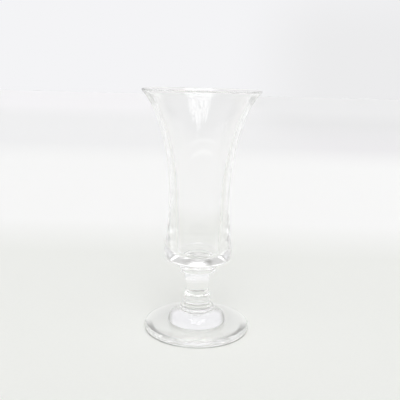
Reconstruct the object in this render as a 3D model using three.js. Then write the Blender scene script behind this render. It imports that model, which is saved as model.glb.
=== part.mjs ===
// Schnapps glass: a flared funnel bowl with a heavy base, on a short knopped stem and a domed round foot.
// Millimetres, +Z up. The origin is where the glass's axis meets the table.
import * as THREE from "three";

// Foot: a round disc with a low dome in its middle and a shallow hollow underneath
const footRadius = 24.5;
const footHeight = 9;
const footEdge = 2.8;
const footSlope = 5;
const domeRadius = 13.3;
const hollowRadius = 17.5;
const hollowDepth = 0.8;

// Mereses: the wafers of glass between the foot, the stem and the bowl
const lowerMereseRadius = 8.1;
const lowerMereseHeight = 1.5;
const upperMereseRadius = 8.4;
const upperMereseHeight = 2.5;
const mereseEdge = 0.7;

// Stem: a shouldered knop below, a neck that stands on it, and a flare under the bowl
const stemHeight = 16.75;
const knopFootRadius = 6.6;
const knopShoulderRadius = 6.1;
const knopShoulderRise = 4.8;
const neckRadius = 5.3;
const neckRise = 6.7;
const neckRun = 5;
const stemTopRadius = 6.8;

// Bowl, outside: underside, rounded heel, upright base band, waist and flare
const bowlHeight = 80.25;
const undersideSlope = 29;
const baseRadius = 15.5;
const heelRound = 1.6;
const baseBandTop = 8.25;
const bellyLean = 10;
const bellyRun = 5;
const waistRadius = 13.6;
const waistRise = 33.25;
const waistRunDown = 10;
const waistRunUp = 15.2;
const rimRadius = 26.2;
const flareAngle = 47;
const flareRun = 12.3;

// Bowl, inside: how thick the wall is at the lip and waist, and the well at the bottom
const lipWall = 1.25;
const waistWall = 3.4;
const wellRadius = 9.85;
const wellRound = 2.4;
const wellRun = 9;
const bowlFloor = 6.15;
const floorDish = 0.5;

const sidesAround = 48;

// Heights of the seams, from the table up
const lowerMereseSeat = footHeight;
const stemSeat = lowerMereseSeat + lowerMereseHeight;
const upperMereseSeat = stemSeat + stemHeight;
const bowlSeat = upperMereseSeat + upperMereseHeight;

// A point of an outline: its distance from the axis and its height
function at(radius, height) {
  return new THREE.Vector2(radius, height);
}

// A step of a given length from a point, at an angle above the horizontal
function step(from, length, degrees) {
  const angle = THREE.MathUtils.degToRad(degrees);
  return at(from.x + length * Math.cos(angle), from.y + length * Math.sin(angle));
}

function line(from, to) {
  return new THREE.LineCurve(from, to);
}

// A curve that leaves one end and reaches the other towards the same corner
function bend(from, corner, to) {
  return new THREE.QuadraticBezierCurve(from, corner, to);
}

function sweep(from, leave, arrive, to) {
  return new THREE.CubicBezierCurve(from, leave, arrive, to);
}

// Part of an ellipse, turned from one angle to another, anticlockwise
function arc(centre, across, up, fromDegrees, toDegrees) {
  const start = THREE.MathUtils.degToRad(fromDegrees);
  const end = THREE.MathUtils.degToRad(toDegrees);
  return new THREE.EllipseCurve(centre.x, centre.y, across, up, start, end, false);
}

// Joins stretches of outline end to end, each cut into its own number of steps
function outline(...stretches) {
  const points = [];
  for (const [curve, steps] of stretches) {
    const first = points.length ? 1 : 0;
    points.push(...curve.getPoints(steps).slice(first));
  }
  return points;
}

// Clear soda-lime glass, fire polished
function clearGlass() {
  return new THREE.MeshStandardMaterial({
    color: 0xe8eceb,
    roughness: 0.03,
    metalness: 0,
    transparent: true,
    opacity: 0.35,
  });
}

// Turns an outline once round the axis and stands the piece on its seat
function turned(name, points, seat) {
  const shape = new THREE.LatheGeometry(points, sidesAround);
  shape.rotateX(Math.PI / 2);
  const mesh = new THREE.Mesh(shape, clearGlass());
  mesh.name = name;
  mesh.position.z = seat;
  return mesh;
}

// The foot stands on the flat ring between its hollow and its rounded edge
function foot() {
  const edgeRound = footEdge / 2;
  const edgeCentre = at(footRadius - edgeRound, edgeRound);
  const discEnd = step(edgeCentre, edgeRound, 90 - footSlope);
  const slope = Math.tan(THREE.MathUtils.degToRad(footSlope));
  const discTop = at(domeRadius, discEnd.y + (discEnd.x - domeRadius) * slope);
  const seatRadius = lowerMereseRadius - mereseEdge;
  const domeWidth = domeRadius - seatRadius;
  const domeHeight = footHeight - discTop.y;
  const hollowTop = at(0, hollowDepth);
  const hollowRim = at(hollowRadius, 0);
  const hollowBend = at(hollowRadius / 2, hollowDepth);
  return turned("foot", outline(
    [bend(hollowTop, hollowBend, hollowRim), 6],
    [line(hollowRim, at(edgeCentre.x, 0)), 1],
    [arc(edgeCentre, edgeRound, edgeRound, -90, 90 - footSlope), 8],
    [line(discEnd, discTop), 1],
    [arc(at(seatRadius, discTop.y), domeWidth, domeHeight, 0, 90), 8],
    [line(at(seatRadius, footHeight), at(0, footHeight)), 1],
  ), 0);
}

// A merese is a flat wafer with a rounded edge
function merese(name, radius, height, seat) {
  const flatRadius = radius - mereseEdge;
  return turned(name, outline(
    [line(at(0, 0), at(flatRadius, 0)), 1],
    [arc(at(flatRadius, height / 2), mereseEdge, height / 2, -90, 90), 8],
    [line(at(flatRadius, height), at(0, height)), 1],
  ), seat);
}

// The knop tapers up to its shoulder, which rounds in at 45 degrees to the neck
function stem() {
  const bottom = at(knopFootRadius, 0);
  const shoulder = at(knopShoulderRadius, knopShoulderRise);
  const shoulderBend = at(shoulder.x, neckRise - (shoulder.x - neckRadius));
  const neck = at(neckRadius, neckRise);
  const neckBend = at(neck.x, neck.y + neckRun);
  const top = at(stemTopRadius, stemHeight);
  return turned("stem", outline(
    [line(at(0, 0), bottom), 1],
    [line(bottom, shoulder), 1],
    [bend(shoulder, shoulderBend, neck), 4],
    [bend(neck, neckBend, top), 8],
    [line(top, at(0, stemHeight)), 1],
  ), stemSeat);
}

// The outside of the bowl's wall from the base band to the waist
function bellyCurve() {
  const bandTop = at(baseRadius, baseBandTop);
  const bellyStart = step(bandTop, bellyRun, 90 + bellyLean);
  const waist = at(waistRadius, waistRise);
  return sweep(bandTop, bellyStart, at(waist.x, waist.y - waistRunDown), waist);
}

// The outside of the bowl's wall from the waist to where the lip's half round begins
function flareCurve(lipCentre, lipRound) {
  const waist = at(waistRadius, waistRise);
  const lipEnd = step(lipCentre, lipRound, flareAngle - 90);
  const arrive = step(lipEnd, -flareRun, flareAngle);
  return sweep(waist, at(waist.x, waist.y + waistRunUp), arrive, lipEnd);
}

// The inner face of a wall that thins evenly along an outer curve, from the curve's end back to its start
function innerFace(outer, wallAtStart, wallAtEnd, steps) {
  const points = [];
  for (let i = 1; i <= steps; i += 1) {
    const along = 1 - i / steps;
    const wall = THREE.MathUtils.lerp(wallAtStart, wallAtEnd, along);
    const direction = outer.getTangent(along);
    const inward = at(-direction.y, direction.x);
    points.push(outer.getPoint(along).addScaledVector(inward, wall));
  }
  return points;
}

// The heel's round, which touches both the sloping underside and the upright base band
function heelArc(seatRadius) {
  const slope = THREE.MathUtils.degToRad(undersideSlope);
  const touchRadius = baseRadius - heelRound + heelRound * Math.sin(slope);
  const touchHeight = (touchRadius - seatRadius) * Math.tan(slope);
  const centre = at(baseRadius - heelRound, touchHeight + heelRound * Math.cos(slope));
  return arc(centre, heelRound, heelRound, undersideSlope - 90, 0);
}

// The bowl is one wall from the underside over the lip to the floor of the well
function bowl() {
  const seatRadius = upperMereseRadius - mereseEdge;
  const lipRound = lipWall / 2;
  const lipCentre = at(rimRadius - lipRound, bowlHeight - lipRound);
  const heel = heelArc(seatRadius);
  const belly = bellyCurve();
  const flare = flareCurve(lipCentre, lipRound);
  const innerWaist = at(waistRadius - waistWall, waistRise);
  const wellTop = at(wellRadius, bowlFloor + wellRound);
  const well = sweep(
    innerWaist,
    at(innerWaist.x, innerWaist.y - waistRunDown),
    at(wellTop.x, wellTop.y + wellRun),
    wellTop,
  );
  const wellCorner = arc(at(wellRadius - wellRound, wellTop.y), wellRound, wellRound, -90, 0);
  const floorEdge = at(wellRadius - wellRound, bowlFloor);
  const floorMiddle = at(0, bowlFloor - floorDish);
  const floorCurve = bend(floorEdge, at(floorEdge.x / 2, floorMiddle.y), floorMiddle);
  return turned("bowl", [
    ...outline(
      [line(at(0, 0), at(seatRadius, 0)), 1],
      [line(at(seatRadius, 0), heel.getPoint(0)), 1],
      [heel, 6],
      [line(heel.getPoint(1), belly.getPoint(0)), 1],
      [belly, 8],
      [flare, 14],
      [arc(lipCentre, lipRound, lipRound, flareAngle - 90, flareAngle + 90), 8],
    ),
    ...innerFace(flare, waistWall, lipWall, 14),
    ...well.getPoints(7).slice(1),
    ...wellCorner.getPoints(5).reverse().slice(1),
    ...floorCurve.getPoints(3).slice(1),
  ], bowlSeat);
}

const schnappsGlass = new THREE.Group();
schnappsGlass.name = "schnapps_glass";
schnappsGlass.add(
  foot(),
  merese("lower_merese", lowerMereseRadius, lowerMereseHeight, lowerMereseSeat),
  stem(),
  merese("upper_merese", upperMereseRadius, upperMereseHeight, upperMereseSeat),
  bowl(),
);

export default schnappsGlass;
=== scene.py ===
"""A clear schnapps glass on a plain pale stage: foot, two mereses, knopped stem and flared bowl."""
import math

import bpy
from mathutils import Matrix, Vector


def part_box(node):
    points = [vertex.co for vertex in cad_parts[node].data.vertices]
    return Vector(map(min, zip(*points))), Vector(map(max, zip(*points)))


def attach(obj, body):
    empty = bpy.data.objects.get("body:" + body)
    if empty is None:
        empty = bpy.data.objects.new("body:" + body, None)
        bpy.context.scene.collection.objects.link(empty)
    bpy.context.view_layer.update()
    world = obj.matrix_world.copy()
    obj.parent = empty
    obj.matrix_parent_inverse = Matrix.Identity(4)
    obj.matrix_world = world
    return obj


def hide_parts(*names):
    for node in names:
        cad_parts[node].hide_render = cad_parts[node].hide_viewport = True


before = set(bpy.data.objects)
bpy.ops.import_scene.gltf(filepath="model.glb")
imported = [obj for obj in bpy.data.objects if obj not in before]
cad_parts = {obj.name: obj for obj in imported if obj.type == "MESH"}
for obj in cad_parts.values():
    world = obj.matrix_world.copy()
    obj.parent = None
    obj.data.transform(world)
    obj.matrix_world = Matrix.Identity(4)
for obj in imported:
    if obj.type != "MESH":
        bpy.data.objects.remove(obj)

bl_info = {
    "name": "Schnapps glass",
    "version": (1, 0, 0),
    "blender": (4, 5, 0),
    "location": "View3D > Sidebar > Glass",
    "description": "Draws a clear schnapps glass round its frame, piece by piece, and sets its stage",
    "category": "Object",
}

MM = 0.001
QUARTER = math.pi / 2

# Points nearer than WELD are one point, and a share of a quarter turn under ROUNDING is none.
WELD = 0.001 * MM
ROUNDING = 1e-6

PIECES = ("foot", "lower_merese", "stem", "upper_merese", "bowl")
SEATS = {name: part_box(name)[0].z for name in PIECES}
TOPS = {name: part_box(name)[1].z for name in PIECES}
RADII = {name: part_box(name)[1].x for name in PIECES}
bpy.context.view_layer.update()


def linear(code):
    """The linear colour of an sRGB hex value such as #EBECE9."""
    parts = [int(code[i:i + 2], 16) / 255 for i in (1, 3, 5)]
    return tuple(p / 12.92 if p <= 0.04045 else ((p + 0.055) / 1.055) ** 2.4 for p in parts)


def number(name, description, default, **settings):
    return bpy.props.FloatProperty(name=name, description=description, default=default, **settings)


def length(name, description, default):
    return number(name, description, default, unit="LENGTH", precision=5)


def slope(name, description, degrees):
    return number(name, description, math.radians(degrees), subtype="ANGLE")


def colour(name, description, code):
    return bpy.props.FloatVectorProperty(name=name, description=description, default=linear(code),
                                         subtype="COLOR", min=0.0, max=1.0)


class FootSizes(bpy.types.PropertyGroup):
    radius: length("Radius", "From the axis to the foot's edge", RADII["foot"])
    edge: length("Edge", "Thickness of the disc at its rounded edge", 2.8 * MM)
    rise: slope("Rise", "Slope of the disc's upper face", 5)
    dome: length("Dome", "Radius of the dome where it leaves the disc", 13.3 * MM)
    hollow: length("Hollow", "Radius of the hollow underneath", 17.5 * MM)
    hollow_depth: length("Hollow depth", "Depth of the hollow at the axis", 0.8 * MM)


class MereseSizes(bpy.types.PropertyGroup):
    edge: length("Edge", "How far the rounded edge stands out past the flat faces", 0.7 * MM)


class StemSizes(bpy.types.PropertyGroup):
    foot: length("Foot", "Radius of the knop where it stands on the lower merese", 6.6 * MM)
    shoulder: length("Shoulder", "Radius of the knop at its shoulder", 6.1 * MM)
    shoulder_rise: length("Shoulder rise", "Height of the shoulder above the stem's foot", 4.8 * MM)
    neck: length("Neck", "Radius of the neck that stands on the knop", 5.3 * MM)
    neck_rise: length("Neck rise", "Height at which the neck leaves the knop", 6.7 * MM)
    neck_run: length("Neck run", "How far the neck runs upright before it flares", 5 * MM)
    top: length("Top", "Radius where the stem joins the upper merese", RADII["stem"])


class BowlSizes(bpy.types.PropertyGroup):
    underside: slope("Underside", "Slope of the underside", 29)
    base: length("Base", "Radius of the upright band at the base", 15.5 * MM)
    heel: length("Heel", "Radius of the rounded heel", 1.6 * MM)
    band_top: length("Band top", "Height of the base band's top above the bowl's seat", 8.25 * MM)
    belly_lean: slope("Belly lean", "How far the wall leans in above the base band", 10)
    belly_run: length("Belly run", "How far the wall keeps to that lean", 5 * MM)
    waist: length("Waist", "Radius of the waist", 13.6 * MM)
    waist_rise: length("Waist rise", "Height of the waist above the bowl's seat", 33.25 * MM)
    run_down: length("Run down", "How far the wall runs upright below the waist", 10 * MM)
    run_up: length("Run up", "How far the wall runs upright above the waist", 15.2 * MM)
    rim: length("Rim", "Radius of the rim", RADII["bowl"])
    flare: slope("Flare", "Angle of the wall above the horizontal at the rim", 47)
    flare_run: length("Flare run", "How far the wall keeps to that angle", 12.3 * MM)
    lip_wall: length("Lip wall", "Thickness of the wall at the lip", 1.25 * MM)
    waist_wall: length("Waist wall", "Thickness of the wall at the waist", 3.4 * MM)
    well: length("Well", "Radius of the well at the bottom of the bowl", 9.85 * MM)
    well_round: length("Well round", "Radius of the corner between the well's wall and floor", 2.4 * MM)
    well_run: length("Well run", "How far the well's wall runs upright", 9 * MM)
    floor: length("Floor", "Height of the well's floor above the bowl's seat", 6.15 * MM)
    dish: length("Dish", "How far the floor dips to its middle", 0.5 * MM)


class GlassFinish(bpy.types.PropertyGroup):
    tint: colour("Tint", "Colour of the clear glass", "#FEFEFE")
    ior: number("IOR", "Refractive index of soda-lime glass", 1.52)
    roughness: number("Roughness", "Roughness of the fire-polished surface", 0.01,
                      min=0.0, max=1.0, subtype="FACTOR")
    wave: length("Wave", "Depth of the slow waves in the surface", 0.004 * MM)
    wave_width: length("Wave width", "Width of the slow waves", 7 * MM)
    cord: length("Cord", "Depth of the upright streaks that hot glass gets as it is drawn out", 0.02 * MM)
    cord_width: length("Cord width", "Width of a streak at the rim", 1.5 * MM)
    cord_run: length("Cord run", "How far up the wall a streak keeps its shape", 40 * MM)
    cords_from: length("Cords from", "Height above the floor where the streaks begin", 86 * MM)


class StageSettings(bpy.types.PropertyGroup):
    horizon: colour("Horizon", "Colour of the room where it meets the floor", "#EBECE9")
    room: colour("Room", "Colour of the room between its panels", "#D8D8D7")
    window: number("Window", "Radiance of the curtained window, in whites", 2.2)
    strip: number("Strip", "Radiance of the long low strip of light, in whites", 1.8)


def at(radius, height):
    """A point of an outline: its distance from the axis and its height."""
    return Vector((radius, height))


def step(start, distance, angle):
    """The point at a distance from another, at an angle above the horizontal."""
    return start + Vector((math.cos(angle), math.sin(angle))) * distance


def line(start, end):
    """A straight stretch of outline, or none where its ends are one point."""
    return [] if (end - start).length < WELD else [(start, None, None, end)]


def sweep(start, leave, arrive, end):
    """A curved stretch of outline, with the handles of its two ends."""
    return [(start, leave, arrive, end)]


def bend(start, corner, end):
    """A curved stretch that starts and ends towards one corner."""
    return [(start, start.lerp(corner, 2 / 3), end.lerp(corner, 2 / 3), end)]


def arc(centre, across, up, start, end):
    """Part of an ellipse, cut into stretches of at most a quarter turn."""
    count = math.ceil(abs(end - start) / QUARTER - ROUNDING)
    turn = (end - start) / count
    handle = 4 / 3 * math.tan(turn / 4)
    stretches = []
    for i in range(count):
        a, b = start + i * turn, start + (i + 1) * turn
        first = centre + Vector((across * math.cos(a), up * math.sin(a)))
        last = centre + Vector((across * math.cos(b), up * math.sin(b)))
        leave = first + Vector((-across * math.sin(a), up * math.cos(a))) * handle
        arrive = last - Vector((-across * math.sin(b), up * math.cos(b))) * handle
        stretches.append((first, leave, arrive, last))
    return stretches


def along(stretch, t):
    """The point and the direction at a share of a curved stretch."""
    a, b, c, d = stretch
    s = 1 - t
    point = a * s ** 3 + b * (3 * s * s * t) + c * (3 * s * t * t) + d * t ** 3
    speed = (b - a) * (3 * s * s) + (c - b) * (6 * s * t) + (d - c) * (3 * t * t)
    return point, speed


def inner_face(outer, wall_at_start, wall_at_end, cuts=6):
    """The inner face of a wall that thins along its outer stretch, drawn from that stretch's end back."""
    knots = []
    for i in range(cuts + 1):
        t = 1 - i / cuts
        point, speed = along(outer, t)
        inward = Vector((-speed.y, speed.x)).normalized()
        knots.append(point + inward * (wall_at_start * (1 - t) + wall_at_end * t))
    # At the two ends a handle goes a third of the way to the next knot. At a knot between them it goes
    # a sixth of the way between the knots on its two sides, so the curve runs smoothly through.
    stretches = []
    for i in range(cuts):
        before = knots[max(i - 1, 0)]
        after = knots[min(i + 2, cuts)]
        start, end = knots[i], knots[i + 1]
        leave = start + (end - before) * (1 / 6 if i else 1 / 3)
        arrive = end - (after - start) * (1 / 6 if i < cuts - 1 else 1 / 3)
        stretches.append((start, leave, arrive, end))
    return stretches


# Sides of a turned piece, cuts in a curved stretch of its outline, and the angle at which an edge shows.
SIDES = 160
CUTS = 10
SHARP = math.radians(32)


def draw(name, stretches):
    """Draws an outline beside the axis as a Bezier curve and makes it a line of mesh edges."""
    bpy.ops.object.select_all(action="DESELECT")
    bpy.ops.curve.primitive_bezier_curve_add(location=(0, 0, 0))
    drawn = bpy.context.object
    drawn.name = name
    drawn.data.resolution_u = CUTS
    knots = drawn.data.splines[0].bezier_points
    knots.add(len(stretches) - 1)
    for knot in knots:
        knot.handle_left_type = knot.handle_right_type = "FREE"
    for i, (start, leave, arrive, end) in enumerate(stretches):
        first, second = knots[i], knots[i + 1]
        first.co = (start.x, 0, start.y)
        second.co = (end.x, 0, end.y)
        if leave is None:
            first.handle_right_type = second.handle_left_type = "VECTOR"
        else:
            first.handle_right = (leave.x, 0, leave.y)
            second.handle_left = (arrive.x, 0, arrive.y)
    bpy.ops.object.convert(target="MESH")
    return bpy.context.object


def turned(name, stretches):
    """Spins an outline once round the axis and closes it into one solid of glass."""
    piece = draw(name, stretches)
    bpy.ops.object.mode_set(mode="EDIT")
    bpy.ops.mesh.select_mode(type="VERT")
    bpy.ops.mesh.select_all(action="SELECT")
    bpy.ops.mesh.spin(steps=SIDES, angle=math.tau, center=(0, 0, 0), axis=(0, 0, 1))
    bpy.ops.mesh.select_all(action="SELECT")
    bpy.ops.mesh.remove_doubles(threshold=WELD)
    bpy.ops.mesh.normals_make_consistent(inside=False)
    bpy.ops.object.mode_set(mode="OBJECT")
    bpy.ops.object.shade_smooth_by_angle(angle=SHARP)
    return piece


def fuse(piece, seams):
    """Gives the flat faces where two gathers are fused the seam's clear material."""
    bpy.ops.object.mode_set(mode="EDIT")
    bpy.ops.mesh.select_mode(type="FACE")
    bpy.ops.mesh.select_all(action="DESELECT")
    bpy.ops.object.mode_set(mode="OBJECT")
    for face in piece.data.polygons:
        radius = math.hypot(face.center.x, face.center.y)
        face.select = any(abs(face.center.z - height) < WELD and radius < reach
                          for height, reach in seams)
    piece.active_material_index = 1
    bpy.ops.object.mode_set(mode="EDIT")
    bpy.ops.object.material_slot_assign()
    bpy.ops.object.mode_set(mode="OBJECT")


def finish_piece(piece, node, seams):
    """Gives a piece its glass and seams, and puts it in the place of its frame node."""
    piece.data.materials.clear()
    piece.data.materials.append(clear_glass())
    piece.data.materials.append(fused_seam())
    fuse(piece, seams)
    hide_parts(node)
    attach(piece, "root")


def add_node(tree, kind, links=None, **settings):
    """Adds a node with its settings, and sets or links its inputs."""
    made = tree.nodes.new(kind)
    for name, value in settings.items():
        setattr(made, name, value)
    for socket, value in (links or {}).items():
        if isinstance(value, bpy.types.NodeSocket):
            tree.links.new(value, made.inputs[socket])
        else:
            made.inputs[socket].default_value = value
    return made


def new_material(name):
    material = bpy.data.materials.new(name)
    material.use_nodes = True
    material.node_tree.nodes.clear()
    return material


# The Mix node's sockets for two colours and their mix, whose names its other sockets share.
MIX_FIRST, MIX_SECOND, MIX_RESULT = 6, 7, 2

# Detail of a noise: little for glass and cloth, more for paper. The waves in the glass are softer still.
SOFT_DETAIL = 1.0
GRAIN_DETAIL = 3.0
WAVE_ROUGHNESS = 0.4


def clear_glass():
    """Clear soda-lime glass, worked hot and fire polished.

    It is bright and without colour. Slow waves all over it and upright cords under the lip make what
    shows in it and through it shimmer.
    """
    name = "soda_lime_glass_fire_polished"
    if name in bpy.data.materials:
        return bpy.data.materials[name]
    finish = bpy.context.scene.glass_finish
    material = new_material(name)
    tree = material.node_tree
    place = add_node(tree, "ShaderNodeTexCoord").outputs["Object"]
    split = add_node(tree, "ShaderNodeSeparateXYZ", {"Vector": place}).outputs
    waves = add_node(tree, "ShaderNodeTexNoise", {
        "Vector": place, "Scale": 1 / finish.wave_width,
        "Detail": SOFT_DETAIL, "Roughness": WAVE_ROUGHNESS})
    wavy = add_node(tree, "ShaderNodeBump", {"Distance": finish.wave, "Height": waves.outputs["Fac"]})

    level = add_node(tree, "ShaderNodeCombineXYZ", {"X": split["X"], "Y": split["Y"]})
    bearing = add_node(tree, "ShaderNodeVectorMath", {0: level.outputs["Vector"]}, operation="NORMALIZE")
    around = add_node(tree, "ShaderNodeVectorMath", {
        0: bearing.outputs["Vector"], "Scale": RADII["bowl"] / finish.cord_width}, operation="SCALE")
    upright = add_node(tree, "ShaderNodeCombineXYZ", {"Z": split["Z"]})
    rise = add_node(tree, "ShaderNodeVectorMath", {
        0: upright.outputs["Vector"], "Scale": 1 / finish.cord_run}, operation="SCALE")
    ribbon = add_node(tree, "ShaderNodeVectorMath", {
        0: around.outputs["Vector"], 1: rise.outputs["Vector"]}, operation="ADD")
    cords = add_node(tree, "ShaderNodeTexNoise", {
        "Vector": ribbon.outputs["Vector"], "Scale": 1.0, "Detail": SOFT_DETAIL})
    near_lip = add_node(tree, "ShaderNodeMapRange", {
        "Value": split["Z"], "From Min": finish.cords_from, "From Max": TOPS["bowl"]},
        interpolation_type="SMOOTHSTEP")
    streaks = add_node(tree, "ShaderNodeMath", {
        0: cords.outputs["Fac"], 1: near_lip.outputs["Result"]}, operation="MULTIPLY")
    corded = add_node(tree, "ShaderNodeBump", {
        "Distance": finish.cord, "Height": streaks.outputs[0], "Normal": wavy.outputs["Normal"]})

    glass = add_node(tree, "ShaderNodeBsdfPrincipled", {
        "Base Color": (*finish.tint, 1.0), "Roughness": finish.roughness, "IOR": finish.ior,
        "Transmission Weight": 1.0, "Normal": corded.outputs["Normal"]})
    add_node(tree, "ShaderNodeOutputMaterial", {"Surface": glass.outputs["BSDF"]})
    return material


def fused_seam():
    """Glass fused hot to glass: nothing shows where two gathers meet, so light passes straight on."""
    name = "soda_lime_glass_fused_seam"
    if name in bpy.data.materials:
        return bpy.data.materials[name]
    material = new_material(name)
    clear = add_node(material.node_tree, "ShaderNodeBsdfTransparent")
    add_node(material.node_tree, "ShaderNodeOutputMaterial", {"Surface": clear.outputs["BSDF"]})
    return material


def merese_flat(node):
    """Radius of a merese's flat faces, which its neighbours are fused to."""
    return RADII[node] - bpy.context.scene.merese_sizes.edge


class GLASS_OT_foot(bpy.types.Operator):
    """Turn the foot: a round disc with a low dome, hollowed underneath"""
    bl_idname = "glass.foot"
    bl_label = "Foot"

    def execute(self, context):
        sizes = context.scene.foot_sizes
        seat, top = SEATS["foot"], TOPS["foot"]
        neck = merese_flat("lower_merese")
        round_edge = sizes.edge / 2
        edge = at(sizes.radius - round_edge, seat + round_edge)
        edge_end = QUARTER - sizes.rise
        disc_end = step(edge, round_edge, edge_end)
        disc_top = at(sizes.dome, disc_end.y + (disc_end.x - sizes.dome) * math.tan(sizes.rise))
        hollow_top = at(0, seat + sizes.hollow_depth)
        hollow_rim = at(sizes.hollow, seat)
        piece = turned("glass_foot", [
            *bend(hollow_top, at(sizes.hollow / 2, hollow_top.y), hollow_rim),
            *line(hollow_rim, at(edge.x, seat)),
            *arc(edge, round_edge, round_edge, -QUARTER, edge_end),
            *line(disc_end, disc_top),
            *arc(at(neck, disc_top.y), sizes.dome - neck, top - disc_top.y, 0, QUARTER),
            *line(at(neck, top), at(0, top)),
        ])
        finish_piece(piece, "foot", [(top, neck)])
        return {"FINISHED"}


class GLASS_OT_mereses(bpy.types.Operator):
    """Turn the two mereses: the wafers of glass below and above the stem"""
    bl_idname = "glass.mereses"
    bl_label = "Mereses"

    def execute(self, context):
        stem = context.scene.stem_sizes
        for node, under, over in (
            ("lower_merese", merese_flat("lower_merese"), stem.foot),
            ("upper_merese", stem.top, merese_flat("upper_merese")),
        ):
            seat, top, flat = SEATS[node], TOPS[node], merese_flat(node)
            half = (top - seat) / 2
            piece = turned("glass_" + node, [
                *line(at(0, seat), at(under, seat)),
                *line(at(under, seat), at(flat, seat)),
                *arc(at(flat, seat + half), RADII[node] - flat, half, -QUARTER, QUARTER),
                *line(at(flat, top), at(over, top)),
                *line(at(over, top), at(0, top)),
            ])
            finish_piece(piece, node, [(seat, under), (top, over)])
        return {"FINISHED"}


class GLASS_OT_stem(bpy.types.Operator):
    """Turn the stem: a shouldered knop below, a neck on it and a flare under the bowl"""
    bl_idname = "glass.stem"
    bl_label = "Stem"

    def execute(self, context):
        sizes = context.scene.stem_sizes
        seat, top = SEATS["stem"], TOPS["stem"]
        bottom = at(sizes.foot, seat)
        shoulder = at(sizes.shoulder, seat + sizes.shoulder_rise)
        neck = at(sizes.neck, seat + sizes.neck_rise)
        crown = at(sizes.top, top)
        piece = turned("glass_stem", [
            *line(at(0, seat), bottom),
            *line(bottom, shoulder),
            *bend(shoulder, at(shoulder.x, neck.y - (shoulder.x - neck.x)), neck),
            *bend(neck, at(neck.x, neck.y + sizes.neck_run), crown),
            *line(crown, at(0, top)),
        ])
        finish_piece(piece, "stem", [(seat, sizes.foot), (top, sizes.top)])
        return {"FINISHED"}


class GLASS_OT_bowl(bpy.types.Operator):
    """Turn the bowl: one wall from the underside over the lip to the floor of the well"""
    bl_idname = "glass.bowl"
    bl_label = "Bowl"

    def execute(self, context):
        sizes = context.scene.bowl_sizes
        seat, top = SEATS["bowl"], TOPS["bowl"]
        neck = merese_flat("upper_merese")
        heel_x = sizes.base - sizes.heel
        touch = at(heel_x + sizes.heel * math.sin(sizes.underside), 0)
        touch.y = seat + (touch.x - neck) * math.tan(sizes.underside)
        heel = at(heel_x, touch.y + sizes.heel * math.cos(sizes.underside))
        band_top = at(sizes.base, seat + sizes.band_top)
        waist = at(sizes.waist, seat + sizes.waist_rise)
        lip_round = sizes.lip_wall / 2
        lip = at(sizes.rim - lip_round, top - lip_round)
        lip_start = step(lip, lip_round, sizes.flare - QUARTER)
        flare = (waist, at(waist.x, waist.y + sizes.run_up),
                 step(lip_start, -sizes.flare_run, sizes.flare), lip_start)
        inner_waist = at(sizes.waist - sizes.waist_wall, waist.y)
        floor = seat + sizes.floor
        well_top = at(sizes.well, floor + sizes.well_round)
        corner = at(sizes.well - sizes.well_round, well_top.y)
        piece = turned("glass_bowl", [
            *line(at(0, seat), at(neck, seat)),
            *line(at(neck, seat), touch),
            *arc(heel, sizes.heel, sizes.heel, sizes.underside - QUARTER, 0),
            *line(at(sizes.base, heel.y), band_top),
            *sweep(band_top, step(band_top, sizes.belly_run, QUARTER + sizes.belly_lean),
                   at(waist.x, waist.y - sizes.run_down), waist),
            flare,
            *arc(lip, lip_round, lip_round, sizes.flare - QUARTER, sizes.flare + QUARTER),
            *inner_face(flare, sizes.waist_wall, sizes.lip_wall),
            *sweep(inner_waist, at(inner_waist.x, waist.y - sizes.run_down),
                   at(sizes.well, well_top.y + sizes.well_run), well_top),
            *arc(corner, sizes.well_round, sizes.well_round, 0, -QUARTER),
            *bend(at(corner.x, floor), at(corner.x / 2, floor - sizes.dish), at(0, floor - sizes.dish)),
        ])
        finish_piece(piece, "bowl", [(seat, neck)])
        return {"FINISHED"}


# The camera stands where the photo was taken from: it looks down a little, and is turned a little.
CAMERA_AT = (0.31 * MM, -260.6 * MM, 116.9 * MM)
CAMERA_DOWN = math.radians(12.18)
CAMERA_ROLL = math.radians(1.41)
CAMERA_LENS = 53.1
CAMERA_SENSOR = 36
CAMERA_NEAR = 10 * MM

# Bounces of light: many, for its long way round inside the rim's ends and the foot's edge, a few on paper.
GLASS_BOUNCES = 200
PAPER_BOUNCES = 4

# The floor lies a hair under the foot, so that their two faces never share a plane.
FLOOR_SIZE = 6
FLOOR_DROP = 0.05 * MM

# Tones of light and shade painted into the floor's colour: metres behind the glass, then the colour on
# the left and on the right. The left turns into the right between two distances to the right of the axis.
FLOOR_REACH = 2.0
FLOOR_TURNS_RIGHT = (0.06, 0.26)
PAINTED_FLOOR_TONES = (
    (0.11, "#EFF0ED", "#EFF0ED"),
    (0.20, "#FAFAFA", "#FBFBFB"),
    (0.50, "#FAFAFA", "#FBFBFB"),
    (0.70, "#F3F3F4", "#F0EFF1"),
    (1.20, "#F3F3F4", "#ECECED"),
    (1.70, "#F8F7F9", "#F0F0F1"),
)
GRAIN_WIDTH = 1.5 * MM
GRAIN_LIGHT = (0.985, 1.015)

# Shade painted into the floor's colour under the foot, in rings: the ring's radius, which is 0 for a
# disc, half the width of its darkest part and of all of it, the share of light left there, and where it
# lies: all round, under the foot's front, or in two crescents to the left and right of that front.
PAINTED_FLOOR_SHADES = (
    (0, 19 * MM, 24.3 * MM, 0.92, "all"),
    (0, 0, 11 * MM, 0.5, "all"),
    (23.4 * MM, 0.4 * MM, 1.3 * MM, 0.7, "front"),
    (22.1 * MM, 1.1 * MM, 2.4 * MM, 0.35, "crescents"),
)
# The crescents of painted shade grow between these two distances towards the front, and between these two
# out to either side.
CRESCENT_FRONT = (2 * MM, -8 * MM)
CRESCENT_SIDE = (4 * MM, 13 * MM)

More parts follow.
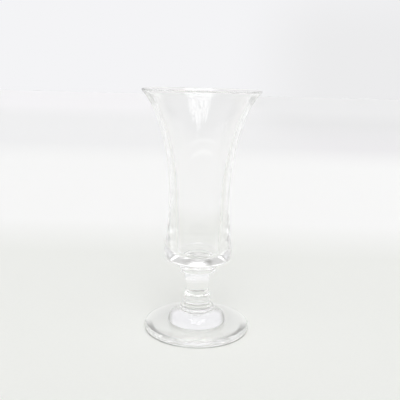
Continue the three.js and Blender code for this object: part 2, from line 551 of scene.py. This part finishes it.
# Panels of the room, far away and seen by direction. In degrees: the bearing, with 0 behind the glass
# and 90 to its right, the rise, half the width, half the height and the softness of the edge. Then the
# colour.
ROOM_PANELS = (
    (0, 12, 45, 34, 8, "#F4F4F6"),
    (40, 0, 33, 8, 5, "#ECECED"),
    (-78, 18, 16, 12, 5, "#A5A5A3"),
    (78, 18, 16, 12, 5, "#A5A5A3"),
    (-90, 72, 18, 13, 5, "#A5A5A3"),
    (90, 72, 18, 13, 5, "#A5A5A3"),
)
HAZE_TOP = math.radians(11)

# Lights of the room, in the panels' degrees: a window behind the camera, which makes the highlight under
# the rim, two gaps at the lower edge of its curtain, and a long low strip, which makes the pale arcs in
# the bowl.
WINDOW = (172, 60, 24, 25, 3)
CURTAIN_GAPS = ((166, 31, 1.4, 9, 1.2), (174, 33, 2.2, 5, 1.4))
STRIP = (188, 13.5, 50, 1.3, 0.9)

# The curtain hangs in narrow upright folds: how often they change across, along and up, the noise
# values of their dark and bright cloth, and the shares of the window's radiance for both and for the
# gaps.
CURTAIN_FOLDS = (22, 22, 1.5)
CURTAIN_CLOTH = (0.42, 0.58)
CURTAIN_LIGHT = (0.3, 1.8)
GAP_LIGHT = 1.6


def paper_floor():
    """Uncoated pale paper: matt, with a fine grain; painted broad tones of light and shade, and painted
    shade under the foot.
    """
    material = new_material("matt_paper_floor")
    tree = material.node_tree
    place = add_node(tree, "ShaderNodeTexCoord").outputs["Object"]
    split = add_node(tree, "ShaderNodeSeparateXYZ", {"Vector": place}).outputs
    distance = add_node(tree, "ShaderNodeMath", {0: split["Y"], 1: FLOOR_REACH}, operation="DIVIDE")
    tones = []
    # Painted light and shade: the paper's colour turns lighter and darker with distance and to the right.
    for column in (1, 2):
        ramp = add_node(tree, "ShaderNodeValToRGB", {"Fac": distance.outputs[0]})
        stops = ramp.color_ramp.elements
        while len(stops) < len(PAINTED_FLOOR_TONES):
            stops.new(1.0)
        for stop, row in zip(stops, PAINTED_FLOOR_TONES):
            stop.position = row[0] / FLOOR_REACH
            stop.color = (*linear(row[column]), 1.0)
        tones.append(ramp.outputs["Color"])
    to_right = add_node(tree, "ShaderNodeMapRange", {
        "Value": split["X"], "From Min": FLOOR_TURNS_RIGHT[0], "From Max": FLOOR_TURNS_RIGHT[1]},
        interpolation_type="SMOOTHSTEP")
    tone = add_node(tree, "ShaderNodeMix", {
        "Factor": to_right.outputs["Result"], MIX_FIRST: tones[0], MIX_SECOND: tones[1]},
        data_type="RGBA").outputs[MIX_RESULT]

    radius = add_node(tree, "ShaderNodeVectorMath", {0: place}, operation="LENGTH").outputs["Value"]
    aside = add_node(tree, "ShaderNodeMath", {0: split["X"]}, operation="ABSOLUTE").outputs[0]
    front, side = (
        add_node(tree, "ShaderNodeMapRange", {"Value": value, "From Min": start, "From Max": end},
                 interpolation_type="SMOOTHSTEP").outputs["Result"]
        for value, (start, end) in ((split["Y"], CRESCENT_FRONT), (aside, CRESCENT_SIDE)))
    crescents = add_node(tree, "ShaderNodeMath", {0: front, 1: side}, operation="MULTIPLY").outputs[0]
    places = {"all": 1.0, "front": front, "crescents": crescents}
    # Painted shade under the foot: each ring darkens the floor's colour where it lies.
    for ring, core, reach, light, where in PAINTED_FLOOR_SHADES:
        off = add_node(tree, "ShaderNodeMath", {0: radius, 1: ring}, operation="SUBTRACT")
        away = add_node(tree, "ShaderNodeMath", {0: off.outputs[0]}, operation="ABSOLUTE")
        depth = add_node(tree, "ShaderNodeMapRange", {
            "Value": away.outputs[0], "From Min": core, "From Max": reach,
            "To Min": 1 - light, "To Max": 0.0}, interpolation_type="SMOOTHSTEP")
        there = add_node(tree, "ShaderNodeMath", {0: depth.outputs["Result"], 1: places[where]},
                         operation="MULTIPLY")
        lit = add_node(tree, "ShaderNodeMath", {0: 1.0, 1: there.outputs[0]}, operation="SUBTRACT")
        tone = add_node(tree, "ShaderNodeVectorMath", {0: tone, "Scale": lit.outputs[0]},
                        operation="SCALE").outputs["Vector"]

    grain = add_node(tree, "ShaderNodeTexNoise", {
        "Vector": place, "Scale": 1 / GRAIN_WIDTH, "Detail": GRAIN_DETAIL})
    speck = add_node(tree, "ShaderNodeMapRange", {
        "Value": grain.outputs["Fac"], "To Min": GRAIN_LIGHT[0], "To Max": GRAIN_LIGHT[1]})
    tone = add_node(tree, "ShaderNodeVectorMath", {0: tone, "Scale": speck.outputs["Result"]},
                    operation="SCALE")
    paper = add_node(tree, "ShaderNodeBsdfDiffuse", {"Color": tone.outputs["Vector"]})
    add_node(tree, "ShaderNodeOutputMaterial", {"Surface": paper.outputs["BSDF"]})
    return material


def panel_mask(tree, direction, bearing, rise, half_width, half_height, soft):
    """One inside a soft-edged panel of the room and nothing outside it."""
    bearing, rise = math.radians(bearing), math.radians(rise)
    ahead = Vector((math.sin(bearing) * math.cos(rise), math.cos(bearing) * math.cos(rise),
                    math.sin(rise)))
    right = Vector((math.cos(bearing), -math.sin(bearing), 0))
    depth = add_node(tree, "ShaderNodeVectorMath", {0: direction, 1: ahead}, operation="DOT_PRODUCT")
    bands = []
    for axis, half in ((right, half_width), (right.cross(ahead), half_height)):
        reach = add_node(tree, "ShaderNodeVectorMath", {0: direction, 1: axis}, operation="DOT_PRODUCT")
        angle = add_node(tree, "ShaderNodeMath", {
            0: reach.outputs["Value"], 1: depth.outputs["Value"]}, operation="ARCTAN2")
        off = add_node(tree, "ShaderNodeMath", {0: angle.outputs[0]}, operation="ABSOLUTE")
        band = add_node(tree, "ShaderNodeMapRange", {
            "Value": off.outputs[0], "From Min": math.radians(half - soft),
            "From Max": math.radians(half + soft), "To Min": 1.0, "To Max": 0.0},
            interpolation_type="SMOOTHSTEP")
        bands.append(band.outputs["Result"])
    return add_node(tree, "ShaderNodeMath", {0: bands[0], 1: bands[1]}, operation="MULTIPLY").outputs[0]


def plain_light(level):
    """A colourless light of a level, where 1 is white."""
    return level, level, level, 1.0


class GLASS_OT_stage(bpy.types.Operator):
    """Set the stage: a pale paper floor, the room with its curtained window and strip, and the camera"""
    bl_idname = "glass.stage"
    bl_label = "Stage"

    def execute(self, context):
        bpy.ops.object.select_all(action="DESELECT")
        bpy.ops.mesh.primitive_plane_add(size=FLOOR_SIZE, location=(0, 0, -FLOOR_DROP))
        floor = context.object
        floor.name = "stage_floor"
        floor.data.materials.append(paper_floor())
        self.light_room(context)
        self.place_camera(context)
        self.let_light_through(context)
        return {"FINISHED"}

    def light_room(self, context):
        """The room is all far away: its panels and lights are tones of the world, seen by direction."""
        settings = context.scene.stage_settings
        world = bpy.data.worlds.new("room")
        context.scene.world = world
        world.use_nodes = True
        tree = world.node_tree
        tree.nodes.clear()
        direction = add_node(tree, "ShaderNodeTexCoord").outputs["Generated"]
        height = add_node(tree, "ShaderNodeSeparateXYZ", {"Vector": direction}).outputs["Z"]
        haze = add_node(tree, "ShaderNodeMapRange", {
            "Value": height, "From Min": 0.0, "From Max": math.sin(HAZE_TOP)},
            interpolation_type="SMOOTHSTEP")
        tone = add_node(tree, "ShaderNodeMix", {
            "Factor": haze.outputs["Result"], MIX_FIRST: (*settings.horizon, 1.0),
            MIX_SECOND: (*settings.room, 1.0)}, data_type="RGBA").outputs[MIX_RESULT]

        folded = add_node(tree, "ShaderNodeVectorMath", {0: direction, 1: CURTAIN_FOLDS},
                          operation="MULTIPLY")
        folds = add_node(tree, "ShaderNodeTexNoise", {
            "Vector": folded.outputs["Vector"], "Scale": 1.0, "Detail": SOFT_DETAIL})
        curtain = add_node(tree, "ShaderNodeMapRange", {
            "Value": folds.outputs["Fac"], "From Min": CURTAIN_CLOTH[0], "From Max": CURTAIN_CLOTH[1],
            "To Min": settings.window * CURTAIN_LIGHT[0], "To Max": settings.window * CURTAIN_LIGHT[1]})

        layers = [(shape, (*linear(code), 1.0)) for *shape, code in ROOM_PANELS]
        layers += [(WINDOW, curtain.outputs["Result"]), (STRIP, plain_light(settings.strip))]
        layers += [(gap, plain_light(settings.window * GAP_LIGHT)) for gap in CURTAIN_GAPS]
        for shape, light in layers:
            tone = add_node(tree, "ShaderNodeMix", {
                "Factor": panel_mask(tree, direction, *shape), MIX_FIRST: tone, MIX_SECOND: light},
                data_type="RGBA").outputs[MIX_RESULT]
        glow = add_node(tree, "ShaderNodeBackground", {"Color": tone})
        add_node(tree, "ShaderNodeOutputWorld", {"Surface": glow.outputs["Background"]})

    def place_camera(self, context):
        bpy.ops.object.camera_add(location=CAMERA_AT)
        camera = context.object
        camera.name = "photo_camera"
        camera.rotation_euler = (QUARTER - CAMERA_DOWN, 0, 0)
        camera.rotation_euler.rotate_axis("Z", CAMERA_ROLL)
        camera.data.lens = CAMERA_LENS
        camera.data.sensor_width = CAMERA_SENSOR
        camera.data.clip_start = CAMERA_NEAR
        context.scene.camera = camera
        context.scene.view_settings.view_transform = "Standard"

    def let_light_through(self, context):
        """Clear glass needs many bounces, and its highlights stay crisp without a blur."""
        cycles = context.scene.cycles
        cycles.max_bounces = cycles.transmission_bounces = GLASS_BOUNCES
        cycles.glossy_bounces = cycles.transparent_max_bounces = GLASS_BOUNCES
        cycles.diffuse_bounces = PAPER_BOUNCES
        cycles.blur_glossy = 0.0


class GLASS_PT_panel(bpy.types.Panel):
    """Lists the glass's pieces and its stage"""
    bl_idname = "GLASS_PT_panel"
    bl_label = "Schnapps glass"
    bl_space_type = "VIEW_3D"
    bl_region_type = "UI"
    bl_category = "Glass"

    def draw(self, context):
        for operator in OPERATORS:
            self.layout.operator(operator.bl_idname)
        for group in GROUPS:
            box = self.layout.box()
            box.label(text=group.replace("_", " ").capitalize())
            settings = getattr(context.scene, group)
            for name in settings.bl_rna.properties.keys():
                if name not in ("rna_type", "name"):
                    box.prop(settings, name)


GROUPS = {
    "foot_sizes": FootSizes,
    "merese_sizes": MereseSizes,
    "stem_sizes": StemSizes,
    "bowl_sizes": BowlSizes,
    "glass_finish": GlassFinish,
    "stage_settings": StageSettings,
}
OPERATORS = (GLASS_OT_foot, GLASS_OT_mereses, GLASS_OT_stem, GLASS_OT_bowl, GLASS_OT_stage)
CLASSES = (*GROUPS.values(), *OPERATORS, GLASS_PT_panel)


def register():
    for cls in CLASSES:
        bpy.utils.register_class(cls)
    for name, group in GROUPS.items():
        setattr(bpy.types.Scene, name, bpy.props.PointerProperty(type=group))


def unregister():
    for name in GROUPS:
        delattr(bpy.types.Scene, name)
    for cls in reversed(CLASSES):
        bpy.utils.unregister_class(cls)


def main():
    register()
    bpy.ops.glass.foot()
    bpy.ops.glass.mereses()
    bpy.ops.glass.stem()
    bpy.ops.glass.bowl()
    bpy.ops.glass.stage()


if __name__ == "__main__":
    main()
